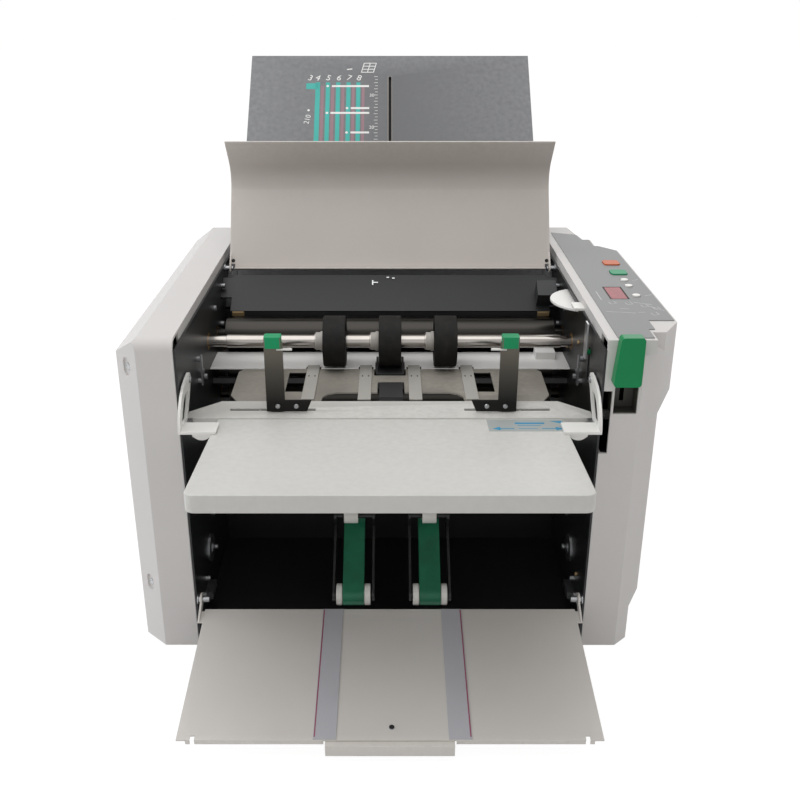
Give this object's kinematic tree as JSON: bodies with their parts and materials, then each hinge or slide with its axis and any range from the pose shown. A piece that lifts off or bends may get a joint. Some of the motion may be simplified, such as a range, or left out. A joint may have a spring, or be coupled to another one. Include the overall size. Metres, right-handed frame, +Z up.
{
  "type": "paper folding machine",
  "caption": "Desk paper folding machine with friction feed, hinged hood, feed table, fold plates with sliding stops, delivery belts and a folding tray.",
  "frame": {"origin": "middle of the whole footprint, on the table, with the hood open, the feed table down and the tray open", "axes": "+Z up, +X to the operator's right, +Y from the operator to the rear"},
  "size_m": [0.53, 0.722, 0.543],
  "materials": {
    "cover_abs": "moulded, fine texture",
    "frame_paint": "black satin paint",
    "pan_paint": "black satin paint",
    "foot_rubber": "moulded rubber",
    "zinc_steel": "zinc plated",
    "bronze": "sintered bronze",
    "turned_fittings": "turned, bright",
    "motor_case": "enamelled",
    "drive_rubber": "moulded rubber",
    "board": "coated laminate",
    "overlay_film": "printed polyester film",
    "window_red": "clear red acrylic",
    "black_plastic": "moulded",
    "slot_liner": "moulded",
    "bracket_steel": "satin paint",
    "guard_paint": "satin paint",
    "guide_steel": "bright sheet",
    "ramp_enamel": "light grey enamel",
    "separator": "moulded holder with a friction pad",
    "belt_green": "flat belt",
    "plate_paint": "mid grey satin paint",
    "rail_steel": "satin paint",
    "hood_enamel": "beige grey enamel",
    "table_enamel": "off-white enamel",
    "arm_enamel": "white enamel",
    "lift_enamel": "beige grey enamel",
    "skid_plastic": "smooth",
    "lever_green": "moulded",
    "fence_steel": "plated sheet with a green grip",
    "chrome_shaft": "ground and plated",
    "tyre_rubber": "ground rubber",
    "roller_steel": "knurled roller",
    "wheel_white": "moulded acetal",
    "tray_enamel": "beige grey enamel",
    "strip_grey": "smooth strip",
    "dial_white": "moulded",
    "button_green": "moulded",
    "button_orange": "moulded",
    "button_white": "moulded",
    "stop_dark": "moulded"
  },
  "bodies": {
    "chassis": {"base_pan": "pan_paint", "left_side_frame": "frame_paint", "right_side_frame": "frame_paint", "left_cover": "cover_abs", "right_cover": "cover_abs", "rear_cover": "cover_abs", "rubber_feet": "foot_rubber", "cover_screws": "zinc_steel", "cross_rods": "zinc_steel", "shaft_bushes": "bronze", "frame_fittings": "turned_fittings", "drive_motor": "motor_case", "drive_belts": "drive_rubber", "control_board": "board", "control_overlay": "overlay_film", "display_window": "window_red", "power_inlet": "black_plastic", "lever_guide": "slot_liner", "dial_bracket": "bracket_steel", "roller_guard": "guard_paint", "sensor_box": "black_plastic", "nip_guide": "guide_steel", "infeed_ramp": "ramp_enamel", "separator_pad": "separator", "stacker_frame": "pan_paint", "stacker_belts": "belt_green", "upper_plate_front": "plate_paint", "upper_plate_back": "plate_paint", "lower_plate_sheets": "plate_paint", "plate_rails": "rail_steel"},
    "hood": {"hood": "hood_enamel"},
    "feed_table": {"feed_table": "table_enamel", "table_arms": "arm_enamel"},
    "lift_plate": {"lift_plate": "lift_enamel", "feed_skids": "skid_plastic"},
    "table_lever": {"table_lever": "lever_green"},
    "left_fence": {"left_fence": "fence_steel"},
    "right_fence": {"right_fence": "fence_steel"},
    "feed_shaft": {"feed_shaft": "chrome_shaft", "feed_tyres": "tyre_rubber"},
    "fold_roller_1": {"fold_roller_1": "roller_steel"},
    "fold_roller_2": {"fold_roller_2": "roller_steel"},
    "fold_roller_3": {"fold_roller_3": "roller_steel"},
    "fold_roller_4": {"fold_roller_4": "roller_steel"},
    "motor_pulley": {"motor_pulley": "zinc_steel"},
    "stacker_drive": {"stacker_drive": "zinc_steel"},
    "stacker_wheels": {"stacker_wheels": "wheel_white"},
    "pinch_wheels": {"pinch_wheels": "wheel_white"},
    "delivery_tray": {"delivery_tray": "tray_enamel", "tray_strips": "strip_grey"},
    "tray_extension": {"tray_extension": "tray_enamel"},
    "upper_fold_stop": {"upper_fold_stop": "stop_dark"},
    "lower_fold_stop": {"lower_fold_stop": "stop_dark"},
    "separator_dial": {"separator_dial": "dial_white"},
    "start_button": {"start_button": "button_green"},
    "stop_button": {"stop_button": "button_orange"},
    "set_button_front": {"set_button_front": "button_white"},
    "set_button_middle": {"set_button_middle": "button_white"},
    "set_button_rear": {"set_button_rear": "button_white"},
    "power_rocker": {"power_rocker": "black_plastic"}
  },
  "joints": [
    {"name": "hood_hinge", "type": "hinge", "parent": "chassis", "child": "hood", "pos_m": [-0.009, 0.10505, 0.321], "axis": [1, 0, 0], "range_deg": [0, 90]},
    {"name": "feed_table_hinge", "type": "hinge", "parent": "chassis", "child": "feed_table", "pos_m": [-0.009, -0.15795, 0.284], "axis": [-1, 0, 0], "range_deg": [0, 90]},
    {"name": "lift_tilt", "type": "hinge", "parent": "chassis", "child": "lift_plate", "pos_m": [-0.009, -0.12345, 0.2424], "axis": [-1, 0, 0], "range_deg": [0, 4], "stiffness_Nm_per_rad": 4, "springref_deg": -8.59},
    {"name": "lever_press", "type": "slide", "parent": "chassis", "child": "table_lever", "axis": [0, 0, -1], "range_m": [0, 0.0261]},
    {"name": "left_fence_slide", "type": "slide", "parent": "chassis", "child": "left_fence", "axis": [1, 0, 0], "range_m": [-0.034, 0.034]},
    {"name": "right_fence_slide", "type": "slide", "parent": "chassis", "child": "right_fence", "axis": [1, 0, 0], "range_m": [-0.034, 0.034]},
    {"name": "roller_2_spin", "type": "hinge", "parent": "chassis", "child": "fold_roller_2", "pos_m": [-0.009, 0.03005, 0.2288], "axis": [1, 0, 0], "continuous": true},
    {"name": "roller_1_spin", "type": "hinge", "parent": "chassis", "child": "fold_roller_1", "pos_m": [-0.009, 0.03005, 0.2652], "axis": [1, 0, 0], "continuous": true},
    {"name": "roller_3_spin", "type": "hinge", "parent": "chassis", "child": "fold_roller_3", "pos_m": [-0.009, 0.06645, 0.2288], "axis": [1, 0, 0], "continuous": true},
    {"name": "roller_4_spin", "type": "hinge", "parent": "chassis", "child": "fold_roller_4", "pos_m": [-0.009, 0.03005, 0.1924], "axis": [1, 0, 0], "continuous": true},
    {"name": "feed_spin", "type": "hinge", "parent": "chassis", "child": "feed_shaft", "pos_m": [-0.009, -0.02695, 0.2765], "axis": [1, 0, 0], "continuous": true},
    {"name": "motor_spin", "type": "hinge", "parent": "chassis", "child": "motor_pulley", "pos_m": [-0.009, 0.13805, 0.075], "axis": [1, 0, 0], "continuous": true},
    {"name": "stacker_drive_spin", "type": "hinge", "parent": "chassis", "child": "stacker_drive", "pos_m": [-0.009, -0.02045, 0.1605], "axis": [1, 0, 0], "continuous": true},
    {"name": "stacker_wheel_spin", "type": "hinge", "parent": "chassis", "child": "stacker_wheels", "pos_m": [-0.009, -0.17795, 0.054], "axis": [1, 0, 0], "continuous": true},
    {"name": "pinch_spin", "type": "hinge", "parent": "chassis", "child": "pinch_wheels", "pos_m": [-0.009, -0.12254, 0.11488], "axis": [1, 0, 0], "continuous": true},
    {"name": "tray_hinge", "type": "hinge", "parent": "chassis", "child": "delivery_tray", "pos_m": [-0.009, -0.18795, 0.055], "axis": [-1, 0, 0], "range_deg": [0, 98]},
    {"name": "extension_slide", "type": "slide", "parent": "delivery_tray", "child": "tray_extension", "axis": [0, -0.9898, -0.1426], "range_m": [0, 0.1]},
    {"name": "upper_stop_slide", "type": "slide", "parent": "chassis", "child": "upper_fold_stop", "axis": [0, 0.7071, 0.7071], "range_m": [-0.07, 0.18]},
    {"name": "lower_stop_slide", "type": "slide", "parent": "chassis", "child": "lower_fold_stop", "axis": [0, 0.8695, -0.4939], "range_m": [-0.008, 0.07]},
    {"name": "dial_turn", "type": "hinge", "parent": "chassis", "child": "separator_dial", "pos_m": [0.205, -0.01395, 0.3185], "axis": [0, 0, 1], "range_deg": [-60, 60]},
    {"name": "start_press", "type": "slide", "parent": "chassis", "child": "start_button", "axis": [0, 0, -1], "range_m": [0, 0.001], "stiffness_N_per_m": 300, "springref_m": -0.001},
    {"name": "stop_press", "type": "slide", "parent": "chassis", "child": "stop_button", "axis": [0, 0, -1], "range_m": [0, 0.001], "stiffness_N_per_m": 300, "springref_m": -0.001},
    {"name": "set_press_front", "type": "slide", "parent": "chassis", "child": "set_button_front", "axis": [0, 0, -1], "range_m": [0, 0.001], "stiffness_N_per_m": 150, "springref_m": -0.001},
    {"name": "set_press_middle", "type": "slide", "parent": "chassis", "child": "set_button_middle", "axis": [0, 0, -1], "range_m": [0, 0.001], "stiffness_N_per_m": 150, "springref_m": -0.001},
    {"name": "set_press_rear", "type": "slide", "parent": "chassis", "child": "set_button_rear", "axis": [0, 0, -1], "range_m": [0, 0.001], "stiffness_N_per_m": 150, "springref_m": -0.001},
    {"name": "rocker_tilt", "type": "hinge", "parent": "chassis", "child": "power_rocker", "pos_m": [-0.235, 0.24705, 0.11], "axis": [1, 0, 0], "range_deg": [0, 14]}
  ],
  "couplings": [
    {"joint": "roller_1_spin", "follows": "roller_4_spin", "ratio": 1},
    {"joint": "roller_2_spin", "follows": "roller_4_spin", "ratio": -1},
    {"joint": "roller_3_spin", "follows": "roller_4_spin", "ratio": 1},
    {"joint": "feed_spin", "follows": "roller_4_spin", "ratio": 0.71429},
    {"joint": "motor_spin", "follows": "roller_4_spin", "ratio": 2.4},
    {"joint": "stacker_drive_spin", "follows": "roller_4_spin", "ratio": 1},
    {"joint": "stacker_wheel_spin", "follows": "roller_4_spin", "ratio": 1},
    {"joint": "pinch_spin", "follows": "roller_4_spin", "ratio": -1.3813},
    {"joint": "lever_press", "follows": "lift_tilt", "m_per_rad": 0.37242}
  ]
}
